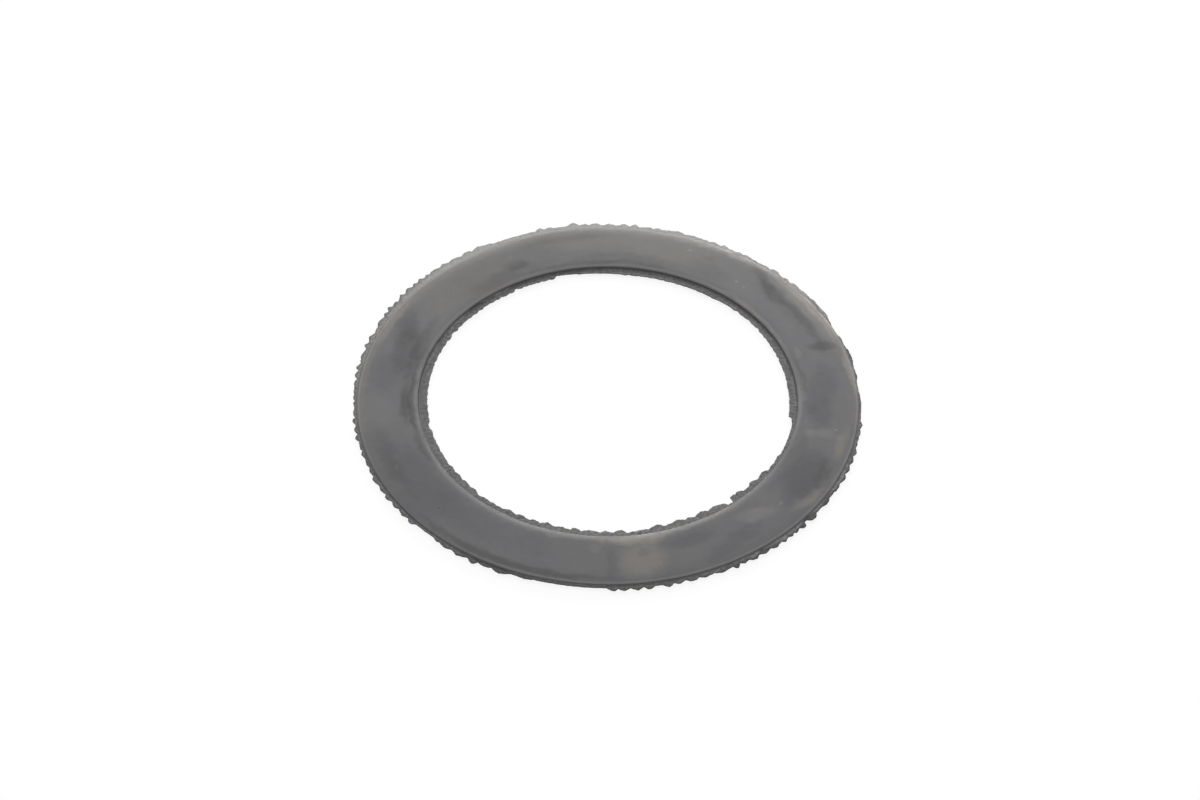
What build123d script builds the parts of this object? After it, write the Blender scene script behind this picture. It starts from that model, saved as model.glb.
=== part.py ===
from build123d import *
from collections import namedtuple
import math
import os
import random

# A flat moulded rubber gasket ring, one piece, with the thin flash of its mould still on both
# edges and torn ragged. Millimetres. The origin is the centre of the underside, and +Z is up.
# Angles are degrees counter-clockwise from +X, seen from above.

# The ring: a flat top that falls away in a soft shoulder towards each wall, and walls that are
# plain above the parting plane and lean in below it
OUTER_DIAMETER = 79.6
BORE_DIAMETER = 60.0
THICKNESS = 1.2
TOP_EDGE_RADIUS = 0.2
SHOULDER_DROP = 0.1
OUTER_SHOULDER_WIDTH = 1.7
INNER_SHOULDER_WIDTH = 1.2
LOWER_TAPER = 0.3

# The flash, a thin sheet half way up, at the parting plane between the two mould halves
FLASH_THICKNESS = 0.2

# Its torn edges. A tooth has four corners: its root, a point on the way up, its tip and a point
# on the way down, which are placed along the tooth's width and up its height from the tip.
TEAR_SEED = 31
ROOT_SHIFT = 0.17
TIP_LOWEST, TIP_HIGHEST = 0.6, 1.2
LEAN_LEAST, LEAN_MOST = 0.4, 0.6
WAY_UP = (-0.18, 0.66)
WAY_DOWN = (0.20, 0.58)
BURIED = -0.25

# A tear is a run of spans round the ring. Each span ends at an angle, and gives how far the
# flash stands out from the wall at the span's two ends, how tall its teeth are and how many
# degrees apart they stand. A buried span lies inside the wall, where the flash is torn away.
Span = namedtuple("Span", "until start_reach end_reach tooth pitch")

OUTER_TEAR = [
    Span(2.5, 0.26, 0.20, 0.03, 2.0),
    Span(6, 0.10, 0.06, 0.04, 2.0),
    Span(10, 0.13, 0.17, 0.24, 4.0),
    Span(18, 0.20, 0.18, 0.36, 8.0),
    Span(22.3, 0.23, 0.23, 0.24, 4.3),
    Span(25, BURIED, BURIED, 0, 2.0),
    Span(28, 0.23, 0.53, 0.04, 1.5),
    Span(32, 0.62, 0.52, 0.18, 4.0),
    Span(42, 0.58, 0.56, 0.20, 3.3),
    Span(45, 0.38, 0.38, 0.36, 3.0),
    Span(48.5, 0.38, 0.36, 0.62, 3.5),
    Span(50.6, 0.44, 0.42, 0.44, 2.1),
    Span(54, 0.46, 0.48, 0.04, 1.7),
    Span(58.8, 0.54, 0.54, 0.40, 2.4),
    Span(60.2, 0.52, 0.56, 0.10, 1.4),
    Span(62.6, 0.56, 0.54, 0.50, 2.4),
    Span(68, 0.64, 0.66, 0.22, 2.7),
    Span(71.5, 0.74, 0.76, 0.42, 3.5),
    Span(75.3, 0.74, 0.84, 0.46, 3.8),
    Span(79.3, 0.84, 0.84, 0.30, 2.0),
    Span(82.8, 0.84, 0.84, 0.34, 3.5),
    Span(85, 0.83, 0.83, 0.66, 2.2),
    Span(91.8, 0.87, 0.89, 0.46, 3.4),
    Span(94.7, 0.93, 1.05, 0.54, 2.9),
    Span(97.1, 1.07, 1.11, 0.56, 2.4),
    Span(100.4, 1.14, 1.12, 0.66, 3.3),
    Span(103, 1.12, 1.16, 0.06, 1.3),
    Span(105.4, 1.24, 1.32, 0.40, 2.4),
    Span(107.8, 1.30, 1.14, 0.90, 2.4),
    Span(118.6, 1.03, 0.91, 0.05, 2.7),
    Span(120.3, 1.15, 1.25, 0.24, 1.7),
    Span(124, 1.35, 1.31, 0.66, 3.7),
    Span(130.5, 1.20, 1.24, 0.60, 3.2),
    Span(136.4, 1.25, 1.11, 0.74, 2.9),
    Span(142.1, 1.18, 1.16, 0.56, 1.9),
    Span(147.5, 1.09, 1.01, 0.62, 2.7),
    Span(153.9, 0.98, 0.92, 0.58, 2.1),
    Span(157.6, 0.89, 0.89, 0.52, 3.7),
    Span(159.8, 0.76, 0.58, 0.16, 2.2),
    Span(162.8, 0.58, 0.58, 0.76, 3.0),
    Span(165, 0.58, 0.56, 0.56, 2.2),
    Span(169.8, 0.56, 0.48, 0.52, 4.8),
    Span(174.8, 0.45, 0.41, 0.56, 2.5),
    Span(178, 0.31, 0.43, 0.52, 3.2),
    Span(182, 0.49, 0.37, 0.12, 2.1),
    Span(187.2, 0.33, 0.35, 0.28, 2.6),
    Span(200.5, 0.32, 0.26, 0.50, 2.6),
    Span(206, 0.22, 0.18, 0.50, 2.6),
    Span(215, 0.32, 0.30, 0.50, 3.0),
    Span(223.7, 0.30, 0.28, 0.52, 3.0),
    Span(229.6, 0.17, 0.11, 0.04, 2.0),
    Span(231.2, 0.33, 0.37, 0.16, 1.6),
    Span(234.4, 0.37, 0.29, 0.64, 3.2),
    Span(238.6, 0.31, 0.31, 0.48, 4.4),
    Span(244.6, 0.29, 0.21, 0.60, 3.0),
    Span(249.2, 0.28, 0.26, 0.50, 4.6),
    Span(250.6, 0.24, 0.24, 0.04, 1.4),
    Span(254.4, 0.24, 0.20, 0.46, 3.8),
    Span(270.4, BURIED, BURIED, 0, 2.0),
    Span(275.2, 0.44, 0.34, 0.48, 2.4),
    Span(280.6, 0.43, 0.25, 0.60, 2.7),
    Span(282, 0.33, 0.37, 0.06, 1.4),
    Span(287.2, 0.40, 0.32, 0.72, 2.6),
    Span(290.2, 0.32, 0.26, 0.54, 3.0),
    Span(293.8, 0.33, 0.21, 0.84, 3.6),
    Span(298, 0.45, 0.45, 0.60, 4.2),
    Span(302.1, 0.46, 0.36, 0.60, 2.1),
    Span(307.9, 0.46, 0.50, 0.64, 2.9),
    Span(311, 0.51, 0.45, 0.46, 3.1),
    Span(316.6, 0.51, 0.51, 0.50, 1.9),
    Span(318.8, 0.52, 0.44, 0.56, 2.2),
    Span(319.8, 0.22, 0.26, 0, 1.0),
    Span(322.6, 0.64, 0.62, 0.44, 2.8),
    Span(324.6, 0.46, 0.46, 0.06, 2.0),
    Span(328, 0.49, 0.47, 0.48, 3.4),
    Span(330, 0.47, 0.47, 0.06, 2.0),
    Span(336, 0.51, 0.47, 0.40, 3.0),
    Span(344.5, 0.47, 0.43, 0.42, 2.8),
    Span(348, 0.40, 0.40, 0.10, 1.8),
    Span(353, 0.41, 0.41, 0.28, 2.5),
    Span(357.5, 0.29, 0.29, 0.04, 2.2),
    Span(360, 0.33, 0.33, 0.03, 2.0),
]

INNER_TEAR = [
    Span(18.5, 1.25, 1.20, 0.12, 3.6),
    Span(33, 1.12, 1.08, 0.16, 2.6),
    Span(47.8, 0.96, 0.98, 0.26, 4.9),
    Span(52, 1.06, 1.10, 0.06, 2.1),
    Span(86, 1.18, 1.24, 0.14, 2.8),
    Span(97, 1.20, 0.94, 0.02, 2.5),
    Span(100.3, 0.96, 0.98, 0.02, 1.7),
    Span(107.9, 0.90, 0.50, 0.02, 1.8),
    Span(121.2, 1.02, 0.98, 0.16, 2.4),
    Span(122.3, 0.80, 0.80, 0, 1.1),
    Span(149.8, 1.08, 1.14, 0.18, 2.5),
    Span(151.5, 1.02, 1.02, 0, 1.7),
    Span(168, 1.18, 1.22, 0.22, 3.2),
    Span(192.8, 1.30, 1.38, 0.10, 3.3),
    Span(195, 1.14, 1.16, 0.04, 2.2),
    Span(211, 1.28, 1.32, 0.16, 3.0),
    Span(227.2, 1.26, 1.22, 0.32, 4.0),
    Span(228.8, 0.88, 0.88, 0, 1.6),
    Span(236.9, 1.08, 1.08, 0.14, 2.8),
    Span(249.6, 1.10, 1.06, 0.52, 4.3),
    Span(276.2, 0.98, 0.98, 0.56, 4.4),
    Span(282.8, 1.00, 1.08, 0.34, 6.6),
    Span(294.6, 1.12, 1.16, 0.56, 5.9),
    Span(297.6, 1.18, 1.18, 0.34, 3.0),
    Span(307.8, 1.18, 1.20, 0.56, 5.1),
    Span(308.8, 1.14, 1.04, 0, 1.0),
    Span(311.2, 0.44, 0.38, 0, 1.2),
    Span(316.2, 1.32, 1.20, 0.40, 2.9),
    Span(319, 0.96, 0.98, 0.02, 2.8),
    Span(322.5, 1.04, 1.00, 0.56, 3.5),
    Span(324, 0.92, 0.92, 0, 1.5),
    Span(328, 1.04, 0.94, 0.26, 4.0),
    Span(335.5, 0.56, 0.56, 0.16, 3.2),
    Span(350, 0.45, 0.46, 0.02, 2.4),
    Span(352, 0.60, 0.78, 0, 1.0),
    Span(354.5, 1.18, 1.22, 0.02, 1.7),
    Span(360, 1.18, 1.25, 0.05, 2.4),
]


def edge_radius(edge_height):
    """The small round at the top of each wall, which leaves a fifth of the wall above the flash."""
    wall = edge_height - (THICKNESS + FLASH_THICKNESS) / 2
    return min(TOP_EDGE_RADIUS, 0.8 * wall)


def ring_body():
    """The ring without its flash: plain walls above the parting plane, leaning walls below it."""
    outer = OUTER_DIAMETER / 2
    bore = BORE_DIAMETER / 2
    parting = THICKNESS / 2
    edge_height = THICKNESS - SHOULDER_DROP
    land_from = bore + INNER_SHOULDER_WIDTH
    land_to = outer - OUTER_SHOULDER_WIDTH
    outline = [
        Line((bore + LOWER_TAPER, 0), (outer - LOWER_TAPER, 0)),
        Line((outer - LOWER_TAPER, 0), (outer, parting)),
        Line((outer, parting), (outer, edge_height)),
        TangentArc((land_to, THICKNESS), (outer, edge_height), tangent=(1, 0)),
        Line((land_to, THICKNESS), (land_from, THICKNESS)),
        TangentArc((land_from, THICKNESS), (bore, edge_height), tangent=(-1, 0)),
        Line((bore, edge_height), (bore, parting)),
        Line((bore, parting), (bore + LOWER_TAPER, 0)),
    ]
    section = make_face(Curve() + outline)
    corners = section.vertices().filter_by(lambda v: abs(v.Y - edge_height) < 1e-6)
    section = fillet(corners, edge_radius(edge_height))
    return revolve(Plane.XZ * section, Axis.Z)


def tear_points(tear, seed):
    """(angle, reach) along one torn edge, four points to a tooth, once round the ring."""
    rng = random.Random(seed)
    points = []
    start = 0.0
    for span in tear:
        count = max(1, round((span.until - start) / span.pitch))
        width = (span.until - start) / count
        for tooth in range(count):
            root = rng.uniform(-ROOT_SHIFT, ROOT_SHIFT) if tooth else 0.0
            tip = span.tooth * rng.uniform(TIP_LOWEST, TIP_HIGHEST)
            lean = rng.uniform(LEAN_LEAST, LEAN_MOST)
            way_up = (lean + WAY_UP[0], WAY_UP[1])
            way_down = (lean + WAY_DOWN[0], WAY_DOWN[1])
            corners = [(root, 0.0), way_up, (lean, 1.0), way_down]
            for along, height in corners:
                share = (tooth + along) / count
                reach = span.start_reach + (span.end_reach - span.start_reach) * share
                points.append((start + width * (tooth + along), reach + tip * height))
        start = span.until
    return points


def torn_outline(radius, direction, tear, seed):
    """One ragged edge of the flash, measured out (1) or in (-1) from a wall of this radius."""
    corners = []
    for angle, reach in tear_points(tear, seed):
        turn = math.radians(angle)
        out = radius + direction * reach
        corners.append((out * math.cos(turn), out * math.sin(turn)))
    return Wire.make_polygon(corners, close=True)


def flash():
    """The sheet of flash, which runs right through the ring's body and is fused with it."""
    rim = torn_outline(OUTER_DIAMETER / 2, 1, OUTER_TEAR, TEAR_SEED)
    hole = torn_outline(BORE_DIAMETER / 2, -1, INNER_TEAR, TEAR_SEED + 1)
    below = (THICKNESS - FLASH_THICKNESS) / 2
    return Pos(0, 0, below) * extrude(Face(rim, [hole]), FLASH_THICKNESS)


gasket_ring = ring_body() + flash()
gasket_ring.label = "gasket_ring"

os.makedirs("parts", exist_ok=True)
export_step(gasket_ring, "parts/gasket_ring.step")
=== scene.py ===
# %% [markdown]
# # A moulded rubber gasket ring
#
# This is a flat black rubber seal about 80 mm across. It came out of a two-part mould, and the
# rubber that squeezed between the two mould halves is still on it: a thin sheet called flash,
# which stands out of both edges and has been torn off roughly. The lesson models the ring as one
# closed mesh, tears its flash, gives it a faded, handled rubber finish and lights it softly on a
# white table.
#
# The first cell loads the part that the CAD program made. It isn't changed here. It says where
# everything is, and its box is kept.

# %% Load the CAD part
import math
import random
from bisect import bisect_right
from collections import namedtuple

import bmesh
import bpy
from mathutils import Matrix, Vector, noise


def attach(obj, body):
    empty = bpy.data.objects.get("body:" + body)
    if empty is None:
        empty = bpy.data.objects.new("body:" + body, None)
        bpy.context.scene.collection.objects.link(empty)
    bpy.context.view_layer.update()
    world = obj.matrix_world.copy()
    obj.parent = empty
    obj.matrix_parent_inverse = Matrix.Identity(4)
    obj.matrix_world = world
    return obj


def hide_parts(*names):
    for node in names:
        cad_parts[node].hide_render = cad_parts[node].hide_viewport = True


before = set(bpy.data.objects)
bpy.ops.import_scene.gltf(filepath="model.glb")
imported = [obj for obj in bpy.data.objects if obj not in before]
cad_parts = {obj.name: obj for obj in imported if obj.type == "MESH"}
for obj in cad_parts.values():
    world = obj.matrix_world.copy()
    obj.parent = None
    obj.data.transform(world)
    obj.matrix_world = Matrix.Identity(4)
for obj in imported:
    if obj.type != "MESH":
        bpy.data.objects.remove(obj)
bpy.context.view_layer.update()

MM = 0.001

# %% [markdown]
# ## The measures of the ring
#
# Blender works in metres and a seal is drawn in millimetres, so every length below is written in
# millimetres and turned into metres where a vertex is made. The ring has a flat top that falls
# away in a soft shoulder towards each wall, walls that are plain above the parting plane of the
# mould and lean in below it, and the flash half way up. The measures are the CAD part's. Only the
# shoulders are a little wider and deeper, because here they are bowed and there they are straight.

# %% Measures
# OUTER and BORE are the radii of the two walls
OUTER = 39.8
BORE = 30.0
THICKNESS = 1.2
PARTING = THICKNESS / 2
EDGE_HEIGHT = 1.06
EDGE_RADIUS = 0.18
FOOT_RADIUS = 0.08
LIP_RADIUS = 0.05
OUTER_SHOULDER = 2.3
INNER_SHOULDER = 1.6
SHOULDER_DROP = THICKNESS - EDGE_HEIGHT
LOWER_TAPER = 0.3
FLASH_HALF = 0.1
LAND_FROM = BORE + INNER_SHOULDER
LAND_TO = OUTER - OUTER_SHOULDER
print(f"ring {2 * BORE:.1f} to {2 * OUTER:.1f} mm, land {LAND_FROM:.1f} to {LAND_TO:.1f} mm")

# %% [markdown]
# ## How the flash is torn
#
# Flash doesn't tear evenly. In one stretch it comes off cleanly against the wall, in the next it
# leaves a row of small teeth, and in another a wide fringe stays on. It could be carved with a
# noise texture alone, but then the tears would be the same all round. Here each edge is a list of
# spans. A span ends at an angle, counted in degrees from the right-hand side as seen from above,
# and says how far the flash stands out at its two ends, how tall its teeth are and how many
# degrees apart. A negative reach means that the flash is gone there.

# %% The two torn edges
GONE = -0.25
Span = namedtuple("Span", "until start_reach end_reach tooth pitch")

OUTER_TEAR = [
    Span(2.5, 0.26, 0.20, 0.03, 2.0),
    Span(6, 0.10, 0.06, 0.04, 2.0),
    Span(10, 0.13, 0.17, 0.24, 4.0),
    Span(18, 0.20, 0.18, 0.36, 8.0),
    Span(22.3, 0.23, 0.23, 0.24, 4.3),
    Span(25, GONE, GONE, 0, 2.0),
    Span(28, 0.26, 0.58, 0.04, 1.5),
    Span(32, 0.72, 0.64, 0.18, 4.0),
    Span(42, 0.70, 0.67, 0.20, 3.3),
    Span(45, 0.48, 0.48, 0.36, 3.0),
    Span(48.5, 0.46, 0.44, 0.60, 3.5),
    Span(50.6, 0.54, 0.52, 0.44, 2.1),
    Span(54, 0.58, 0.60, 0.04, 1.7),
    Span(58.8, 0.66, 0.66, 0.40, 2.4),
    Span(60.2, 0.62, 0.66, 0.10, 1.4),
    Span(62.6, 0.62, 0.60, 0.50, 2.4),
    Span(68, 0.70, 0.72, 0.22, 2.7),
    Span(71.5, 0.88, 0.90, 0.42, 3.5),
    Span(75.3, 0.88, 0.96, 0.46, 3.8),
    Span(79.3, 0.98, 0.99, 0.30, 2.0),
    Span(82.8, 0.90, 0.90, 0.34, 3.5),
    Span(85, 0.89, 0.89, 0.66, 2.2),
    Span(91.8, 0.93, 0.95, 0.46, 3.4),
    Span(94.7, 1.00, 1.12, 0.54, 2.9),
    Span(97.1, 1.14, 1.18, 0.56, 2.4),
    Span(100.4, 1.20, 1.18, 0.66, 3.3),
    Span(103, 1.18, 1.22, 0.06, 1.3),
    Span(105.4, 1.24, 1.32, 0.40, 2.4),
    Span(107.8, 1.32, 1.20, 0.90, 2.4),
    Span(118.6, 1.19, 1.06, 0.05, 2.7),
    Span(120.3, 1.16, 1.27, 0.24, 1.7),
    Span(124, 1.35, 1.31, 0.66, 3.7),
    Span(130.5, 1.20, 1.24, 0.60, 3.2),
    Span(136.4, 1.22, 1.08, 0.74, 2.9),
    Span(142.1, 1.12, 1.12, 0.56, 1.9),
    Span(147.5, 1.09, 1.01, 0.62, 2.7),
    Span(153.9, 0.98, 0.92, 0.58, 2.1),
    Span(157.6, 0.89, 0.89, 0.52, 3.7),
    Span(159.8, 0.76, 0.58, 0.16, 2.2),
    Span(162.8, 0.58, 0.58, 0.76, 3.0),
    Span(165, 0.58, 0.56, 0.56, 2.2),
    Span(169.8, 0.56, 0.48, 0.52, 4.8),
    Span(174.8, 0.45, 0.41, 0.56, 2.5),
    Span(178, 0.31, 0.43, 0.52, 3.2),
    Span(182, 0.49, 0.37, 0.12, 2.1),
    Span(187.2, 0.28, 0.28, 0.28, 2.6),
    Span(200.5, 0.24, 0.22, 0.48, 2.6),
    Span(206, 0.22, 0.18, 0.50, 2.6),
    Span(215, 0.32, 0.30, 0.50, 3.0),
    Span(223.7, 0.30, 0.28, 0.52, 3.0),
    Span(229.6, 0.17, 0.11, 0.04, 2.0),
    Span(231.2, 0.33, 0.37, 0.16, 1.6),
    Span(234.4, 0.37, 0.29, 0.64, 3.2),
    Span(238.6, 0.31, 0.31, 0.48, 4.4),
    Span(244.6, 0.29, 0.21, 0.60, 3.0),
    Span(249.2, 0.28, 0.26, 0.50, 4.6),
    Span(250.6, 0.24, 0.24, 0.04, 1.4),
    Span(254.4, 0.24, 0.20, 0.46, 3.8),
    Span(270.4, 0.20, 0.19, 0.05, 2.0),
    Span(275.2, 0.44, 0.34, 0.48, 2.4),
    Span(280.6, 0.43, 0.25, 0.60, 2.7),
    Span(282, 0.33, 0.37, 0.06, 1.4),
    Span(287.2, 0.40, 0.32, 0.72, 2.6),
    Span(290.2, 0.32, 0.26, 0.54, 3.0),
    Span(293.8, 0.33, 0.21, 0.84, 3.6),
    Span(298, 0.45, 0.45, 0.60, 4.2),
    Span(302.1, 0.46, 0.36, 0.60, 2.1),
    Span(307.9, 0.46, 0.50, 0.64, 2.9),
    Span(311, 0.51, 0.45, 0.46, 3.1),
    Span(316.6, 0.51, 0.51, 0.50, 1.9),
    Span(318.8, 0.52, 0.44, 0.56, 2.2),
    Span(319.8, 0.22, 0.26, 0, 1.0),
    Span(322.6, 0.64, 0.62, 0.44, 2.8),
    Span(324.6, 0.46, 0.46, 0.06, 2.0),
    Span(328, 0.49, 0.47, 0.48, 3.4),
    Span(330, 0.47, 0.47, 0.06, 2.0),
    Span(336, 0.51, 0.47, 0.40, 3.0),
    Span(344.5, 0.47, 0.43, 0.42, 2.8),
    Span(348, 0.40, 0.40, 0.10, 1.8),
    Span(353, 0.41, 0.41, 0.28, 2.5),
    Span(357.5, 0.29, 0.29, 0.04, 2.2),
    Span(360, 0.33, 0.33, 0.03, 2.0),
]

INNER_TEAR = [
    Span(18.5, 1.21, 1.17, 0.12, 3.6),
    Span(33, 1.09, 1.07, 0.16, 2.6),
    Span(47.8, 0.93, 0.97, 0.26, 4.9),
    Span(52, 1.08, 1.12, 0.06, 2.1),
    Span(86, 1.19, 1.26, 0.14, 2.8),
    Span(97, 1.25, 0.98, 0.02, 2.5),
    Span(100.3, 0.97, 0.99, 0.02, 1.7),
    Span(107.9, 0.86, 0.48, 0.02, 1.8),
    Span(121.2, 1.02, 0.98, 0.16, 2.4),
    Span(122.3, 0.80, 0.80, 0, 1.1),
    Span(149.8, 1.08, 1.14, 0.18, 2.5),
    Span(151.5, 1.02, 1.02, 0, 1.7),
    Span(168, 1.18, 1.22, 0.22, 3.2),
    Span(192.8, 1.33, 1.42, 0.10, 3.3),
    Span(195, 1.14, 1.16, 0.04, 2.2),
    Span(211, 1.34, 1.35, 0.16, 3.0),
    Span(227.2, 1.25, 1.21, 0.32, 4.0),
    Span(228.8, 0.94, 0.94, 0, 1.6),
    Span(236.9, 1.08, 1.08, 0.14, 2.8),
    Span(249.6, 1.10, 1.06, 0.52, 4.3),
    Span(276.2, 1.06, 1.06, 0.56, 4.4),
    Span(282.8, 0.93, 1.00, 0.34, 6.6),
    Span(294.6, 1.12, 1.16, 0.56, 5.9),
    Span(297.6, 1.18, 1.18, 0.34, 3.0),
    Span(307.8, 1.18, 1.20, 0.56, 5.1),
    Span(308.8, 1.14, 1.04, 0, 1.0),
    Span(311.2, 0.44, 0.38, 0, 1.2),
    Span(316.2, 1.37, 1.25, 0.40, 2.9),
    Span(319, 0.96, 0.98, 0.02, 2.8),
    Span(322.5, 1.04, 1.00, 0.56, 3.5),
    Span(324, 0.92, 0.92, 0, 1.5),
    Span(328, 1.04, 0.94, 0.26, 4.0),
    Span(335.5, 0.54, 0.53, 0.16, 3.2),
    Span(350, 0.42, 0.45, 0.02, 2.4),
    Span(352, 0.60, 0.78, 0, 1.0),
    Span(354.5, 1.18, 1.22, 0.02, 1.7),
    Span(360, 1.18, 1.25, 0.05, 2.4),
]
print("outer edge:", len(OUTER_TEAR), "spans, inner edge:", len(INNER_TEAR), "spans")

# %% [markdown]
# Each span is now cut into teeth. A tooth has four corners: its root, a point on the way up, its
# tip and a point on the way down. A seeded random generator leans and sizes every tooth a little
# differently, and because the seed is fixed the ring is torn in the same way on each run. The
# same rule and seeds tear the CAD part. Here the teeth are a little rounder and some spans reach a
# tenth of a millimetre or so more or less, and otherwise the two outlines agree tooth by tooth.

# %% Cut the spans into teeth
# Places along a tooth are shares of its width, and heights are shares of its tip's height
TEAR_SEED = 31
ROOT_SHIFT = 0.17
TIP_LOWEST, TIP_HIGHEST = 0.5, 1.12
LEAN_LEAST, LEAN_MOST = 0.4, 0.6
WAY_UP = (-0.20, 0.76)
WAY_DOWN = (0.22, 0.68)


def cut_teeth(tear, seed):
    """(angle, reach, tooth height) along one torn edge, four corners to a tooth."""
    rng = random.Random(seed)
    corners = []
    start = 0.0
    for span in tear:
        count = max(1, round((span.until - start) / span.pitch))
        width = (span.until - start) / count
        for tooth in range(count):
            root = rng.uniform(-ROOT_SHIFT, ROOT_SHIFT) if tooth else 0.0
            tip = span.tooth * rng.uniform(TIP_LOWEST, TIP_HIGHEST)
            lean = rng.uniform(LEAN_LEAST, LEAN_MOST)
            shape = [
                (root, 0.0),
                (lean + WAY_UP[0], WAY_UP[1]),
                (lean, 1.0),
                (lean + WAY_DOWN[0], WAY_DOWN[1]),
            ]
            for along, height in shape:
                share = (tooth + along) / count
                reach = span.start_reach + (span.end_reach - span.start_reach) * share
                angle = start + width * (tooth + along)
                corners.append((angle, reach + tip * height, span.tooth))
        start = span.until
    first = corners[0]
    corners.append((first[0] + 360.0, first[1], first[2]))
    return corners


outer_teeth = cut_teeth(OUTER_TEAR, TEAR_SEED)
inner_teeth = cut_teeth(INNER_TEAR, TEAR_SEED + 1)
print("corners outside:", len(outer_teeth), "inside:", len(inner_teeth))

# %% [markdown]
# ## The section of the ring
#
# A ring is a section spun about its axis, so the first shape is the section alone: a loop of a
# few vertices and edges in the XZ plane. A torus or a cylinder could be edited into the same
# form, but the section shows every radius and height at once. The flash gets a plain reach of one
# millimetre for now. It is torn later, when the loop has become a ring.

# %% Draw the section's corners
FLASH_REACH = 1.0
FLASH_UNDER = PARTING - FLASH_HALF
FLASH_OVER = PARTING + FLASH_HALF
SEAT_LEAN = LOWER_TAPER * FLASH_HALF / PARTING

# radius and height of each corner, once round from the foot of the bore wall
SECTION_CORNERS = {
    "inner foot": (BORE + LOWER_TAPER, 0.0),
    "outer foot": (OUTER - LOWER_TAPER, 0.0),
    "outer seat": (OUTER - SEAT_LEAN, FLASH_UNDER),
    "outer lip under": (OUTER + FLASH_REACH, FLASH_UNDER),
    "outer lip over": (OUTER + FLASH_REACH, FLASH_OVER),
    "outer root": (OUTER, FLASH_OVER),
    "outer edge": (OUTER, EDGE_HEIGHT),
    "outer land": (LAND_TO, THICKNESS),
    "inner land": (LAND_FROM, THICKNESS),
    "inner edge": (BORE, EDGE_HEIGHT),
    "inner root": (BORE, FLASH_OVER),
    "inner lip over": (BORE - FLASH_REACH, FLASH_OVER),
    "inner lip under": (BORE - FLASH_REACH, FLASH_UNDER),
    "inner seat": (BORE + SEAT_LEAN, FLASH_UNDER),
}
section = {
    name: Vector((radius, 0.0, height)) * MM
    for name, (radius, height) in SECTION_CORNERS.items()
}
ring = bmesh.new()
loop = [ring.verts.new(corner) for corner in section.values()]
for vert, following in zip(loop, loop[1:] + loop[:1]):
    ring.edges.new((vert, following))
print("section:", len(ring.verts), "corners and", len(ring.edges), "edges")

# %% [markdown]
# The long edges are subdivided, because the wear, the tearing and the bent shoulders all need
# vertices to move. Then the shoulders are bowed: between the land and the edge the top follows a
# curve that starts level and steepens, which is why a soft band of light runs round the ring.

# %% Subdivide the section and bow its shoulders


def corner_vert(name):
    """The vertex at a named corner. Operators may remake vertices, but not move them."""
    return min(ring.verts, key=lambda vert: (vert.co - section[name]).length)


def cut_edge(one, other, cuts):
    """Divides the edge between two named corners into cuts + 1 equal parts."""
    edge = ring.edges.get((corner_vert(one), corner_vert(other)))
    bmesh.ops.subdivide_edges(ring, edges=[edge], cuts=cuts)


SIDES = ("outer", "inner")
cut_edge("inner foot", "outer foot", cuts=4)
cut_edge("outer land", "inner land", cuts=5)
for side in SIDES:
    cut_edge(f"{side} land", f"{side} edge", cuts=4)
    cut_edge(f"{side} root", f"{side} lip over", cuts=4)
    cut_edge(f"{side} lip under", f"{side} seat", cuts=3)
    cut_edge(f"{side} edge", f"{side} root", cuts=1)
    cut_edge(f"{side} lip under", f"{side} lip over", cuts=1)

for vert in ring.verts:
    radius = vert.co.x / MM
    if vert.co.z > EDGE_HEIGHT * MM and not LAND_FROM <= radius <= LAND_TO:
        outside = (radius - LAND_TO) / OUTER_SHOULDER
        inside = (LAND_FROM - radius) / INNER_SHOULDER
        vert.co.z = (THICKNESS - SHOULDER_DROP * max(outside, inside) ** 2) * MM
print("section after cutting:", len(ring.verts), "vertices")

# %% [markdown]
# A moulded edge is never sharp, and a torn lip isn't either. The two top edges, the two feet and
# the two lips are rounded with the bevel operator in its vertex mode, which on a bare loop of
# edges replaces a corner with a short arc.

# %% Round the section's corners


def round_corner(name, offset, segments):
    """Replaces one corner of the section with an arc that starts and ends at the offset."""
    bmesh.ops.bevel(
        ring,
        geom=[corner_vert(name)],
        offset=offset * MM,
        offset_type="OFFSET",
        segments=segments,
        profile=0.5,
        affect="VERTICES",
        clamp_overlap=True,
        material=-1,
    )


for side in SIDES:
    round_corner(f"{side} edge", EDGE_RADIUS, segments=4)
    round_corner(f"{side} foot", FOOT_RADIUS, segments=2)
    round_corner(f"{side} lip over", LIP_RADIUS, segments=2)
    round_corner(f"{side} lip under", LIP_RADIUS, segments=2)
print("rounded section:", len(ring.verts), "vertices,", len(ring.edges), "edges")

# %% [markdown]
# ## Spin the section into a ring
#
# The spin operator carries the section round the Z axis in small steps and joins them with faces.
# The number of steps is set by the finest tear that has to show: a quarter of a degree is less
# than a fifth of a millimetre on the outer edge, and the ring still stays under 200,000
# triangles. A full turn of so many steps is slow, because the operator looks through the whole
# mesh at each one. So only a twelfth of the ring is spun, and eleven copies of it are turned into
# place. Merging the vertices that meet closes the seams between them.

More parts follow.
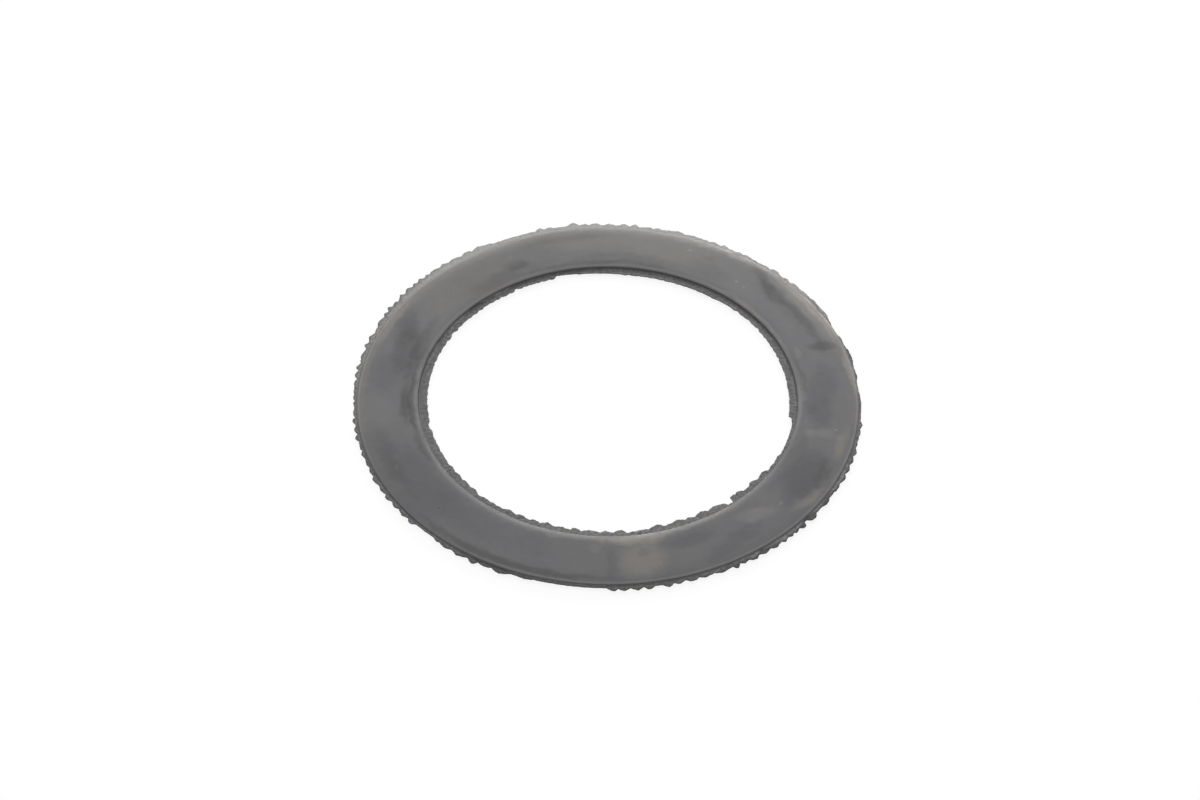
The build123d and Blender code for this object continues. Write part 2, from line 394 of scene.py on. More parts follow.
# %% Spin a twelfth and copy it round
STEPS = 1440
SECTORS = 12
SECTOR_TURN = 2 * math.pi / SECTORS
SEAM = 0.0005
bmesh.ops.spin(
    ring,
    geom=list(ring.verts) + list(ring.edges),
    cent=(0, 0, 0),
    axis=(0, 0, 1),
    dvec=(0, 0, 0),
    angle=SECTOR_TURN,
    steps=STEPS // SECTORS,
    use_merge=False,
    use_duplicate=False,
)
sector = list(ring.verts) + list(ring.edges) + list(ring.faces)
for number in range(1, SECTORS):
    copy = bmesh.ops.duplicate(ring, geom=sector)["geom"]
    bmesh.ops.rotate(
        ring,
        cent=(0, 0, 0),
        matrix=Matrix.Rotation(number * SECTOR_TURN, 3, "Z"),
        verts=[item for item in copy if isinstance(item, bmesh.types.BMVert)],
    )
bmesh.ops.remove_doubles(ring, verts=ring.verts, dist=SEAM * MM)
bmesh.ops.recalc_face_normals(ring, faces=ring.faces)
open_edges = sum(1 for edge in ring.edges if not edge.is_manifold)
print("spun ring:", len(ring.verts), "vertices,", len(ring.faces), "faces, open edges:", open_edges)
print("volume in cubic mm:", round(ring.calc_volume(signed=True) / MM**3, 1))

# %% [markdown]
# ## Tear the flash
#
# Every vertex beyond a wall belongs to the flash. Its share, 0 at the wall and 1 at the lip, says
# how much of the torn reach it gets, so the whole sheet follows the tear and not only its rim.
# Finer raggedness comes from Perlin noise read on the wall beside the vertex, which closes up
# round the ring. It is scaled by the height of the teeth there: a stretch that tore cleanly stays
# clean. A thin stub is left where the flash is gone. The sheet also thins towards its lip, is
# lumpy, and waves a little up and down. The share is kept on each vertex as an attribute called
# tip, so that the material can tell the tips from the roots.

# %% Helpers for the torn edge
# A layer of noise is its strength and its grain, and grains are in millimetres
FINE_GRAIN = 0.24
RAGGED_LAYERS = ((1.0, 0.55), (0.6, FINE_GRAIN))
ROUGH_LEAST, ROUGH_PER_TOOTH, TOOTH_LIMIT = 0.014, 0.34, 0.3
STUB, STUB_ROUGH = 0.02, 0.4


def ragged(place, grain):
    """Smooth noise from -1 to 1 at a place in millimetres, with lumps about one grain wide."""
    return noise.noise(place / grain)


def layered(place, layers):
    """Several layers of noise added up."""
    return sum(strength * ragged(place, grain) for strength, grain in layers)


def corner_at(teeth, angle):
    """Reach and tooth height at an angle in degrees, on the line between two corners."""
    after = min(max(bisect_right(teeth, (angle, math.inf)), 1), len(teeth) - 1)
    low, high = teeth[after - 1], teeth[after]
    share = (angle - low[0]) / (high[0] - low[0]) if high[0] > low[0] else 0.0
    share = min(max(share, 0.0), 1.0)
    return low[1] + (high[1] - low[1]) * share, low[2] + (high[2] - low[2]) * share


def torn_reach(teeth, angle, rim):
    """How far the flash stands out at an angle, with its finer raggedness, in millimetres."""
    reach, tooth = corner_at(teeth, angle)
    rough = ROUGH_LEAST + ROUGH_PER_TOOTH * min(tooth, TOOTH_LIMIT)
    reach += rough * layered(rim, RAGGED_LAYERS)
    return max(reach, STUB + STUB_ROUGH * rough * abs(ragged(rim, FINE_GRAIN)))


print("reach and tooth height at the right-hand side:", corner_at(outer_teeth, 0.0))

# %% Move the flash out to its torn edge
ON_WALL = 1e-4
THINNING = 0.35
# The lumps are read from another level of the noise, reach their full height a third of the way
# out, and are lower underneath
LUMP_LAYERS = ((0.10, 0.5), (0.05, 0.27))
LUMP_SHIFT = Vector((0, 0, 7.0))
LUMP_ONSET, LUMPS_UNDER = 3.0, 0.4
LIP_WAVE, LIP_WAVE_GRAIN = 0.07, 3.2

tip_layer = ring.verts.layers.float.new("tip")
torn = 0
for vert in ring.verts:
    radius = math.hypot(vert.co.x, vert.co.y) / MM
    if BORE <= radius + ON_WALL and radius - ON_WALL <= OUTER:
        continue
    outside = radius > OUTER
    wall, way, teeth = (OUTER, 1, outer_teeth) if outside else (BORE, -1, inner_teeth)
    turn = math.atan2(vert.co.y, vert.co.x)
    outward = Vector((math.cos(turn), math.sin(turn), 0.0))
    share = abs(radius - wall) / FLASH_REACH
    reach = torn_reach(teeth, math.degrees(turn) % 360.0, outward * wall)
    place = outward * (wall + way * share * reach)
    half = (vert.co.z / MM - PARTING) * (1.0 - THINNING * share)
    lumps = layered(place + LUMP_SHIFT, LUMP_LAYERS) * min(1.0, LUMP_ONSET * share)
    wave = LIP_WAVE * share * share * reach * ragged(outward * wall, LIP_WAVE_GRAIN)
    lift = wave + (lumps if half > 0 else LUMPS_UNDER * lumps)
    vert.co = Vector((place.x, place.y, PARTING + half + lift)) * MM
    vert[tip_layer] = share
    torn += 1
print("flash vertices moved:", torn)

# %% [markdown]
# ## Small unevenness of the moulding
#
# Rubber shrinks a little unevenly as it cools, so the land isn't a perfect plane. A slow wave of
# about a hundredth of a millimetre is enough for the light to find. The underside stays flat,
# because it lies on the table.

# %% Wave the top
WAVE_HEIGHT = 0.008
WAVE_LAYERS = ((0.7, 9.0), (0.3, 3.5))
for vert in ring.verts:
    height = vert.co.z / MM
    if height > EDGE_HEIGHT - EDGE_RADIUS:
        place = Vector((vert.co.x, vert.co.y, 0.0)) / MM
        swell = layered(place, WAVE_LAYERS)
        vert.co.z += WAVE_HEIGHT * swell * (height / THICKNESS) * MM
bmesh.ops.recalc_face_normals(ring, faces=ring.faces)
print("top waved by up to", WAVE_HEIGHT, "mm")

# %% [markdown]
# ## Hand the ring over
#
# The mesh becomes an object at the origin, because its place is in its vertices. It rides on the
# part's one body, and the CAD part's own ring is hidden. All its faces are smooth shaded: torn
# rubber is soft, and has no facets.

# %% Make the object
mesh = bpy.data.meshes.new("rubber_ring")
ring.to_mesh(mesh)
ring.free()
rubber_ring = bpy.data.objects.new("rubber_ring", mesh)
bpy.context.scene.collection.objects.link(rubber_ring)
mesh.shade_smooth()
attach(rubber_ring, "root")
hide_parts("gasket_ring")
mesh.calc_loop_triangles()
print("rubber ring:", len(mesh.loop_triangles), "triangles")

# %% [markdown]
# ## A short way to write shader maths
#
# A material is a graph of nodes, and a graph is hard to read as code. Two small classes help. A
# Wire stands for one socket and knows the plus, minus and times signs, so that a formula on wires
# adds the Math nodes for it. A Sheet is one node tree, and its add method makes any other node
# from its type, its settings and what goes into its sockets. A setting that is a group in itself,
# such as the built-in mapping of a texture node, is given as a dictionary.

# %% Wires and sheets
Noise = namedtuple("Noise", "scale detail roughness")


class Wire:
    """An output socket that can be used in sums. Each sign adds one Math node."""

    def __init__(self, sheet, socket):
        self.sheet = sheet
        self.socket = socket

    def __add__(self, other):
        return self.sheet.math("ADD", self, other)

    def __radd__(self, other):
        return self.sheet.math("ADD", other, self)

    def __sub__(self, other):
        return self.sheet.math("SUBTRACT", self, other)

    def __rsub__(self, other):
        return self.sheet.math("SUBTRACT", other, self)

    def __mul__(self, other):
        return self.sheet.math("MULTIPLY", self, other)

    def __rmul__(self, other):
        return self.sheet.math("MULTIPLY", other, self)


class Sheet:
    """One node tree, with a method that adds any node and some short names for common ones."""

    def __init__(self, tree):
        self.tree = tree
        tree.nodes.clear()

    def add(self, kind, settings=None, sockets=None, out=0):
        """Adds a node: its settings first, then its sockets. Returns one output as a wire."""
        node = self.tree.nodes.new(kind)
        for name, value in (settings or {}).items():
            if isinstance(value, dict):
                for part, number in value.items():
                    setattr(getattr(node, name), part, number)
            else:
                setattr(node, name, value)
        for name, value in (sockets or {}).items():
            self.feed(self.pick(node.inputs, name), value)
        return Wire(self, self.pick(node.outputs, out)) if len(node.outputs) else node

    @staticmethod
    def pick(sockets, name):
        """A socket by its number, or by its name among those that the settings leave in use."""
        if isinstance(name, int):
            return [socket for socket in sockets if socket.enabled][name]
        return next(socket for socket in sockets if socket.enabled and socket.name == name)

    def feed(self, socket, value):
        """Links a wire to a socket, or sets the socket to a plain value."""
        if isinstance(value, Wire):
            self.tree.links.new(value.socket, socket)
        else:
            socket.default_value = value

    def math(self, operation, *values):
        """One Math node."""
        return self.add("ShaderNodeMath", {"operation": operation}, dict(enumerate(values)))

    def vector(self, operation, **sockets):
        """One Vector Math node, on vectors a and b or on vector a and a scale."""
        names = {"a": 0, "b": 1, "scale": "Scale"}
        fed = {names[name]: value for name, value in sockets.items()}
        return self.add("ShaderNodeVectorMath", {"operation": operation}, fed)

    def step(self, value, low, high):
        """0 below low and 1 above high, with a smooth slope between."""
        return self.add(
            "ShaderNodeMapRange",
            {"interpolation_type": "SMOOTHSTEP"},
            {"Value": value, "From Min": low, "From Max": high},
        )

    def ridge(self, value, middle, half):
        """1 at the middle, falling smoothly to 0 at half a width on both sides."""
        return 1 - self.step(self.math("ABSOLUTE", value - middle), 0.0, half)

    def noise(self, place, layer, out="Fac"):
        """Noise at a place in millimetres. Its scale is the number of lumps in a millimetre."""
        fed = {"Scale": layer.scale, "Detail": layer.detail, "Roughness": layer.roughness}
        return self.add(
            "ShaderNodeTexNoise", {"noise_dimensions": "3D"}, {"Vector": place, **fed}, out
        )

    def mix(self, share, one, other):
        """One colour at share 0, the other at share 1."""
        return self.add(
            "ShaderNodeMix",
            {"data_type": "RGBA"},
            {"Factor": share, "A": one, "B": other},
            "Result",
        )


print("helpers ready")

# %% [markdown]
# ## The rubber: where a point is
#
# Everything on the ring follows its roundness, so the material first turns Object coordinates
# into a radius, a height and an angle, in millimetres and radians. Unrolled, the ring is a strip:
# its length is the angle times the mean radius, and its width is the radius. A strip has two cut
# ends, and a mark that reached an end would be cut in two. So there are two strips, one cut open
# at the front for the marks of the back half, and one cut open at the back for the front half.

# %% Place on the ring
rubber = bpy.data.materials.new("faded_black_rubber")
rubber.use_nodes = True
sheet = Sheet(rubber.node_tree)
MEAN_RADIUS = (BORE + OUTER) / 2

metres = sheet.add("ShaderNodeTexCoord", out="Object")
place = sheet.vector("SCALE", a=metres, scale=1 / MM)
east = sheet.add("ShaderNodeSeparateXYZ", None, {"Vector": place}, "X")
north = Wire(sheet, east.socket.node.outputs["Y"])
height = Wire(sheet, east.socket.node.outputs["Z"])
radius = sheet.math("SQRT", east * east + north * north)
turn = sheet.math("ARCTAN2", north, east)


def unrolled(start):
    """The ring as a strip in millimetres that starts at an angle in degrees and runs once round."""
    first = math.radians(start)
    along = sheet.math("WRAP", turn, first + 2 * math.pi, first) * MEAN_RADIUS
    return sheet.add("ShaderNodeCombineXYZ", None, {"X": along, "Y": radius, "Z": 0.0})


FRONT, BACK = -90, -270
plain_strips = {"back": unrolled(FRONT), "front": unrolled(BACK)}
print("each strip is", round(2 * math.pi * MEAN_RADIUS), "mm long")

# %% [markdown]
# ## The rubber: zones
#
# Three parts of the ring have their own colour. The top is dark grey under a bloom, the fine wax
# and dust that rubber sweats out with age. The outer wall is painted lighter than the wall of the
# bore, as painted light and shade: the outer wall stands open to the lamps and the bore wall lies
# in shade. The torn flash is rough. Soft steps in radius and height tell the parts apart, and a
# narrow ridge picks out each crest, where the shoulder turns down.

# %% Zones
# Where the flash starts off each wall, and how far below the top edges the walls do
ROOT_FROM, ROOT_TO = 0.01, 0.10
WALL_FROM, WALL_TO = 0.06, 0.22
# How far each crest lies from its wall, and half its width
OUTER_CREST_IN, OUTER_CREST_HALF = 0.37, 0.30
INNER_CREST_IN, INNER_CREST_HALF = 0.48, 0.50

outer_flash = sheet.step(radius, OUTER + ROOT_FROM, OUTER + ROOT_TO)
inner_flash = 1 - sheet.step(radius, BORE - ROOT_TO, BORE - ROOT_FROM)
flash = outer_flash + inner_flash
above_wall = sheet.step(height, EDGE_HEIGHT - WALL_TO, EDGE_HEIGHT - WALL_FROM)
wall = (1 - above_wall) * (1 - flash)
outer_crest = sheet.ridge(radius, OUTER - OUTER_CREST_IN, OUTER_CREST_HALF) * (1 - wall)
inner_crest = sheet.ridge(radius, BORE + INNER_CREST_IN, INNER_CREST_HALF) * (1 - wall)
print("zones: top, walls, flash and the two crests")

# %% [markdown]
# ## The rubber: bloom, handling marks, painted highlights and painted shade
#
# The bloom has been rubbed and smeared by hands, which leaves large soft patches, some darker and
# cooler where the rubber shows through, some lighter and warmer where the bloom is thick. Some
# marks are painted light and shade instead: painted highlights on the shoulders and crests that
# face the lamp behind, and painted shade on those that face the camera. Noise gives the general
# cloudiness. The marks that can be told one by one are listed, each as a soft oval on the
# unrolled strip. A spherical Gradient texture is a ball that fades from its middle, and its own
# built-in mapping moves, turns and stretches it, so one node draws one oval.
# A Mapping node and a length for each would do the same, but so many of them fill the renderer's
# shader memory and the ring turns black. Slow noise bends the strip, so a border is never a true
# oval. Only the specks and three thin bands along the edges are left unbent, because the specks
# have crisp borders and the bands follow the edges closely.

# %% Marks listed one by one
# A mark's place in degrees and millimetres, its half lengths, its tilt in degrees, and how much
# it brightens or darkens, warms or cools
Mark = namedtuple("Mark", "angle radius along across tilt tone warmth")

# Soft handling marks in the bloom, together with painted highlights and painted shade on the
# shoulders and crests
MARKS_LIGHT_AND_SHADE = [
    # the right-hand side
    Mark(5, 34.6, 4.6, 2.4, 0, -0.36, -0.5),
    Mark(9, 31.3, 5.0, 0.4, 0, -0.40, 0.0),
    Mark(17.5, 31.9, 1.4, 0.6, 15, 0.40, 0.2),
    Mark(18.3, 36.2, 1.2, 2.4, 14, -0.80, -0.2),
    # painted highlight on the outer shoulder, which faces the lamp behind
    Mark(32, 38.2, 7.4, 1.3, 0, 0.60, 0.6),
    Mark(28, 36.2, 6.6, 0.9, 0, -0.50, 0.0),
    Mark(41, 36.0, 4.2, 1.1, 8, -0.50, 0.0),
    Mark(35, 35.4, 7.0, 1.6, 0, -0.22, 0.0),
    Mark(47, 37.4, 3.6, 1.0, 24, -0.60, 0.0),
    # painted highlight on the outer shoulder, which faces the lamp behind
    Mark(60, 39.0, 4.6, 0.9, 0, 0.40, 0.4),
    Mark(63, 36.2, 1.2, 0.7, 0, -0.30, 0.1),
    Mark(40, 30.7, 13.0, 0.5, 0, 0.44, 0.3),
    # painted highlights along the outer shoulder, which faces the lamp behind
    Mark(8, 39.1, 5.0, 0.6, 0, 0.90, 0.2),
    Mark(31, 39.1, 8.5, 0.7, 0, 0.98, 0.7),
    Mark(54, 39.15, 6.0, 0.6, 0, 0.68, 0.3),
    Mark(70, 39.0, 7.0, 0.8, 0, 0.30, 0.2),
    # the back
    Mark(72, 35.8, 9.0, 3.6, 0, 0.14, 0.9),
    Mark(94, 36.8, 9.0, 2.4, 0, 0.10, 0.8),
    # painted shade on the inner shoulder at the back, which faces the camera and turns from the
    # lamp
    Mark(84, 32.2, 10.0, 1.4, 0, -0.40, 0.1),
    Mark(95, 31.2, 14.0, 0.6, 0, -0.34, 0.0),
    Mark(101, 33.0, 6.0, 1.6, 0, -0.20, 0.3),
    Mark(100, 38.4, 9.0, 1.8, 0, -0.44, 0.1),
    Mark(111, 35.6, 6.0, 2.4, 0, -0.26, 0.3),
    Mark(116.5, 33.6, 2.4, 1.3, 12, -0.54, -0.1),
    Mark(62, 33.6, 5.0, 2.2, 0, -0.30, -0.2),
    # painted shade on the inner shoulder at the back
    Mark(120, 32.3, 9.0, 1.5, 0, -0.50, 0.0),
    Mark(130, 34.4, 9.0, 3.8, 0, -0.22, 0.7),
    # the left-hand side
    # painted highlight on the outer shoulder, which faces the lamp behind
    Mark(155, 38.8, 5.8, 0.9, 0, 0.44, 0.9),
    Mark(155, 35.9, 4.6, 2.0, -18, -0.50, -0.3),
    Mark(158, 32.3, 6.0, 1.2, -6, -0.54, 0.0),
    Mark(165, 30.8, 4.0, 0.6, 0, -0.34, 0.0),
    Mark(164, 33.8, 6.2, 2.4, -12, -0.60, -0.4),
    Mark(176, 32.0, 9.0, 1.0, 0, -0.34, -0.1),
    Mark(182, 31.1, 8.0, 0.6, 0, -0.70, 0.0),
    # painted highlight on the outer shoulder, which faces the lamp behind
    Mark(176, 39.1, 12.0, 0.8, 0, 0.30, 0.0),
    Mark(173, 35.8, 4.2, 3.4, 0, -0.26, -0.3),
    Mark(187, 36.3, 3.9, 2.8, 0, 0.20, 0.1),
    Mark(185, 32.2, 4.6, 0.9, 0, -0.50, 0.0),
    # the front
    Mark(-146, 35.0, 11.0, 4.5, 0, -0.36, -0.3),
    Mark(-121, 34.0, 12.0, 3.5, 0, -0.10, -0.2),
    # painted shade on the outer shoulder at the front, which faces the camera and turns from the
    # lamp
    Mark(-113, 38.6, 15.0, 0.7, 0, -0.56, 0.0),
    Mark(-158, 36.8, 9.0, 1.6, 0, -0.32, 0.0),
    Mark(-160, 30.9, 7.0, 0.9, 0, -0.56, 0.0),
    Mark(-93, 32.5, 1.3, 1.0, 0, 0.26, 0.3),
    Mark(-88.7, 35.6, 0.9, 3.2, 0, -0.24, 0.1),
    Mark(-81.5, 35.2, 3.9, 4.0, 0, 0.50, 0.9),
    Mark(-80.5, 34.0, 1.1, 0.8, 0, -0.24, -0.5),
    # painted highlights on the inner shoulder at the front, which faces the lamp behind
    Mark(-82, 31.1, 5.6, 1.3, 0, 0.90, 0.9),
    Mark(-78, 30.8, 8.0, 0.7, 0, 0.60, 0.3),
    Mark(-104, 30.8, 12.0, 0.6, 0, 0.36, 0.3),
    Mark(-60, 30.6, 8.0, 0.6, 0, 0.40, 0.3),
    Mark(-3, 30.6, 5.0, 0.5, 0, 0.40, 0.2),
    Mark(-25, 30.6, 6.0, 0.6, 0, -0.36, 0.0),
    Mark(-68, 33.2, 4.6, 1.6, 0, -0.34, -0.2),
    Mark(-58, 36.6, 6.0, 1.6, -12, -0.30, -0.4),
    Mark(-48.5, 34.0, 3.8, 1.4, 25, 0.50, 0.3),
    Mark(-36, 38.0, 3.2, 0.9, 15, 0.56, 0.9),
    Mark(-30, 35.4, 6.8, 2.9, -4, -0.64, -0.6),
    Mark(-25, 37.4, 4.0, 1.3, 0, -0.34, 0.0),
    Mark(-26, 32.2, 8.0, 1.2, 0, -0.30, 0.0),
    Mark(-16, 38.0, 3.8, 1.0, 0, 0.36, 0.6),
    Mark(-14, 35.0, 1.0, 3.0, 0, 0.28, 0.3),
    Mark(-14.3, 32.6, 1.4, 0.9, 0, 0.30, 0.3),
    Mark(-6, 34.0, 4.0, 1.9, 0, -0.44, -0.3),
    Mark(-1, 32.2, 4.6, 0.9, 0, -0.30, -0.1),
]

# Specks of dust and short light scratches, with crisp borders, and three long thin bands, one of
# them painted shade
SPECKS = [
    Mark(33.5, 33.3, 1.9, 0.13, 37, 0.16, 0),
    Mark(40, 33.1, 1.8, 0.13, 28, 0.16, 0),
    Mark(36.5, 38.8, 0.35, 0.25, 0, 0.70, 0),
    Mark(48.5, 33.6, 0.40, 0.30, 30, 0.45, 0),
    Mark(51.5, 33.9, 0.38, 0.32, 0, 0.60, 0),
    Mark(67.5, 39.2, 0.95, 0.10, -6, 0.60, 0),
    Mark(68.5, 36.7, 0.50, 0.20, -38, 0.90, 0),
    Mark(137.5, 34.6, 0.35, 0.15, -40, 0.40, 0),
    Mark(147.8, 31.6, 0.95, 0.12, -18, 0.35, 0),
    Mark(-153.5, 36.3, 0.60, 0.16, 22, 0.45, 0),
    Mark(-136, 35.6, 0.22, 0.20, 0, -0.60, 0),
    # painted shade: a band along the outer edge at the front, where the shoulder faces the camera
    # and turns from the lamp
    Mark(-140, 39.5, 17.0, 0.34, 0, -0.46, 0),
    Mark(-135, 30.15, 9.0, 0.30, 0, -0.34, 0),
    Mark(108, 39.5, 11.0, 0.40, 0, -0.24, 0),
    Mark(-77, 36.3, 0.14, 0.40, 12, 0.50, 0),
    Mark(-41, 35.2, 0.45, 0.24, -20, 0.80, 0),
    Mark(-11.7, 36.5, 0.26, 0.42, 0, 0.80, 0),
    Mark(-10, 31.7, 0.22, 0.26, 0, 0.45, 0),
]

# Stretches of the walls and the torn flash that are lighter or darker than the rest, many of them
# painted light and shade
EDGE_MARKS_LIGHT_AND_SHADE = [
    # the outer edge
    # painted shade on the outer flash's tips on the right, whose edges turn from the light
    Mark(10, 40.1, 8.0, 1.0, 0, -0.60, 0),
    # painted light on the outer flash at the back left, lit by the lamp behind
    Mark(158, 40.2, 17.0, 1.6, 0, 0.30, 0),
    Mark(-117, 40.2, 7.0, 1.4, 0, -0.20, 0),
    Mark(-30, 39.8, 10.0, 0.35, 0, 0.55, 0),
    Mark(-53, 39.8, 10.0, 0.35, 0, 0.70, 0),
    Mark(-138, 39.85, 12.0, 0.35, 0, 0.35, 0),
    Mark(-36, 40.4, 14.0, 0.50, 0, -0.50, 0),
    Mark(-60, 40.3, 6.0, 0.50, 0, -0.24, 0),
    Mark(155, 39.75, 12.0, 0.35, 0, 0.40, 0),
    Mark(190, 39.8, 5.0, 0.4, 0, 0.36, 0),
    Mark(31, 39.9, 7.0, 0.5, 0, -0.40, 0),
    Mark(-116, 39.8, 4.0, 0.4, 0, -0.30, 0),
    # the inner edge
    # painted shadow of the bore wall on the inner flash
    Mark(8, 29.4, 6.0, 0.6, 0, -0.24, 0),
    # painted shadow of the bore wall on the inner flash
    Mark(122, 29.4, 16.0, 0.6, 0, -0.28, 0),
    # painted light, lifting the bore wall at the back left out of its shade
    Mark(138, 30.15, 16.0, 0.45, 0, 0.90, 0),
    # painted shadow of the bore wall on the inner flash
    Mark(150, 29.5, 17.0, 0.40, 0, -0.26, 0),
    # painted light, lifting the root of the inner flash out of its shade
    Mark(14, 29.85, 12.0, 0.30, 0, 0.45, 0),
    Mark(-15, 30.0, 9.0, 0.35, 0, 0.30, 0),
    # painted shadow of the bore wall on the inner flash
    Mark(180, 29.4, 12.0, 0.6, 0, -0.20, 0),
    Mark(-150, 30.0, 10.0, 0.8, 0, -0.16, 0),
    # painted light on the inner flash at the front, lit across the bore by the lamp behind
    Mark(-86, 29.7, 21.0, 1.2, 0, 0.36, 0),
]

# %% Paint the marks on the strips
# A mark is whole up to the first share of its size, and has faded away at the second
MARK_FADE = (0.45, 1.3)
SPECK_FADE = (0.4, 1.2)
BEND = Noise(0.35, 3.0, 0.55)
BEND_BY = 1.0

bend = sheet.noise(place, BEND, "Color")
bend = sheet.vector("SUBTRACT", a=bend, b=(0.5, 0.5, 0.5))
bend = sheet.vector("SCALE", a=bend, scale=2 * BEND_BY)
bent_strips = {
    half: sheet.vector("ADD", a=strip, b=bend) for half, strip in plain_strips.items()
}


def oval(mark, strips, fade):
    """A soft oval for one mark on its half's strip: 1 in its middle and 0 outside."""
    inside, outside = fade
    field = strips["back" if mark.angle > 0 else "front"]
    placed = {
        "vector_type": "TEXTURE",
        "translation": (math.radians(mark.angle) * MEAN_RADIUS, mark.radius, 0.0),
        "rotation": (0.0, 0.0, math.radians(mark.tilt)),
        "scale": (mark.along * outside, mark.across * outside, 1.0),
    }
    ball = sheet.add(
        "ShaderNodeTexGradient",
        {"gradient_type": "SPHERICAL", "texture_mapping": placed},
        {"Vector": field},
        "Fac",
    )
    return sheet.step(ball, 0.0, 1 - inside / outside)


tone = 0.0
warmth = 0.0
for mark in MARKS_LIGHT_AND_SHADE:
    spot = oval(mark, bent_strips, MARK_FADE)
    tone = tone + spot * mark.tone
    if mark.warmth:
        warmth = warmth + spot * mark.warmth
for speck in SPECKS:
    tone = tone + oval(speck, plain_strips, SPECK_FADE) * speck.tone
edge_tone = 1.0
for mark in EDGE_MARKS_LIGHT_AND_SHADE:
    edge_tone = edge_tone + oval(mark, bent_strips, MARK_FADE) * mark.tone
print("marks placed:", len(MARKS_LIGHT_AND_SHADE), "and specks:", len(SPECKS), "and edge marks:", len(EDGE_MARKS_LIGHT_AND_SHADE))

# %% [markdown]
# ## The rubber: colour
#
# The marks, two sizes of cloudiness and a fine grain all add up to one number, the tone, which
# brightens or darkens the grey, and so also carries the painted highlights and painted shade. A
# second number, the warmth, moves the grey from slightly blue to slightly brown, as a bloom does;
# its extra warmth on the far shoulder is a painted warm sheen of the lamp behind. The torn flash is
# crumbly, and its tips are painted darker than its roots as shade, apart from the long fringe at
# the back, which is smooth and painted lighter, as lit by the lamp behind, of one tone with the
# shoulder. The inner flash is painted darker at its root, as the bore wall's shadow. The walls
# and the flash are mixed in at the end.

# %% Colour of the top
COOL_GREY = (0.0640, 0.0650, 0.0760, 1.0)
WARM_GREY = (0.0865, 0.0800, 0.0725, 1.0)
CLOUDS = Noise(0.16, 3.0, 0.5)
SMEARS = Noise(0.9, 3.0, 0.55)
GRAIN = Noise(9.0, 3.0, 0.6)
CLOUD_TONE, SMEAR_TONE, GRAIN_TONE = 0.30, 0.30, 0.10
# Where the far side starts, northwards, where the outer shoulder's bloom does, and its warmth
# near, on the far side and on the inner crest; the warmth on the far side is a painted warm sheen
# of the lamp behind
FAR_FROM, FAR_TO = -26.0, 8.0
BLOOM_FROM, BLOOM_TO = LAND_TO - 0.5, OUTER - 0.6
BLOOM_NEAR, FAR_SHEEN_WARMTH, BLOOM_INNER = 0.05, 0.40, 0.30
MARK_WARMTH, PLAIN_WARMTH, MOST_WARMTH = 0.8, 0.38, 1.2
OUTER_CREST_TONE, INNER_CREST_TONE = 0.64, 0.40

clouds = sheet.noise(place, CLOUDS) - 0.5
smears = sheet.noise(place, SMEARS) - 0.5
grain = sheet.noise(place, GRAIN) - 0.5
tone = tone + clouds * CLOUD_TONE + smears * SMEAR_TONE + grain * GRAIN_TONE
far_side = sheet.step(north, FAR_FROM, FAR_TO)
# bloom on the outer shoulder, with a painted warm sheen on the far side
bloom_and_warm_sheen = sheet.step(radius, BLOOM_FROM, BLOOM_TO) * (BLOOM_NEAR + far_side * FAR_SHEEN_WARMTH)
bloom_and_warm_sheen = bloom_and_warm_sheen + inner_crest * BLOOM_INNER
warmth = warmth * MARK_WARMTH + PLAIN_WARMTH + clouds + bloom_and_warm_sheen
warmth = sheet.math("MINIMUM", sheet.math("MAXIMUM", warmth, 0.0), MOST_WARMTH)
crest = outer_crest * OUTER_CREST_TONE + inner_crest * INNER_CREST_TONE
top_grey = sheet.mix(warmth, COOL_GREY, WARM_GREY)
shaded = sheet.vector("SCALE", a=top_grey, scale=1 + tone + crest)
print("top coloured")

# %% Colour of the walls and the flash
# The outer wall and the outer flash are painted lighter than the top, as painted light where they
# lie in shade, and the bore wall is painted darker, as painted shade
OUTER_WALL_LIT_GREY = (0.2080, 0.2070, 0.2040, 1.0)
BORE_WALL_SHADED_GREY = (0.0950, 0.0950, 0.0940, 1.0)
OUTER_FLASH_LIT_GREY = (0.1560, 0.1550, 0.1520)
INNER_FLASH_GREY = (0.0840, 0.0830, 0.0820)
CRUMBS = Noise(1.7, 4.0, 0.65)
WALL_SPLIT_IN = 1.0
# How strongly the crumbs show, and where the smooth fringe behind starts, north and east
WALL_CRUMBS, INNER_CRUMBS, OUTER_CRUMBS, LESS_BEHIND = 1.4, 2.8, 2.4, 1.6
BEHIND_FROM, BEHIND_TO = 8.0, 26.0
BEHIND_EAST_FROM, BEHIND_EAST_TO = -38.0, -26.0
# Where its tips stop being painted dark, how dark the others are painted as shade, and how much
# lighter the fringe behind is painted, as lit by the lamp behind
UNSHADED_TIPS_FROM, UNSHADED_TIPS_TO = -34.0, -20.0
TIP_SHADE, BEHIND_PAINTED_LIGHT = 0.66, 0.62
# The inner flash is painted darker at its root, as the bore wall's shadow, and lighter towards its
# tip
INNER_ROOT_SHADOW_TONE, INNER_TIP_TONE = 0.9, 0.2

crumbs = sheet.noise(place, CRUMBS) - 0.5
tip = sheet.add("ShaderNodeAttribute", {"attribute_name": "tip"}, out="Fac")
behind = sheet.step(north, BEHIND_FROM, BEHIND_TO)
behind = behind * sheet.step(east, BEHIND_EAST_FROM, BEHIND_EAST_TO)
unshaded_tips = behind * sheet.step(east, UNSHADED_TIPS_FROM, UNSHADED_TIPS_TO)
# painted shade on the flash's tips, whose torn edges turn from the light
shaded_tips = tip * tip * (1 - unshaded_tips) * TIP_SHADE
crumbling = 1 + crumbs * (OUTER_CRUMBS - LESS_BEHIND * behind)
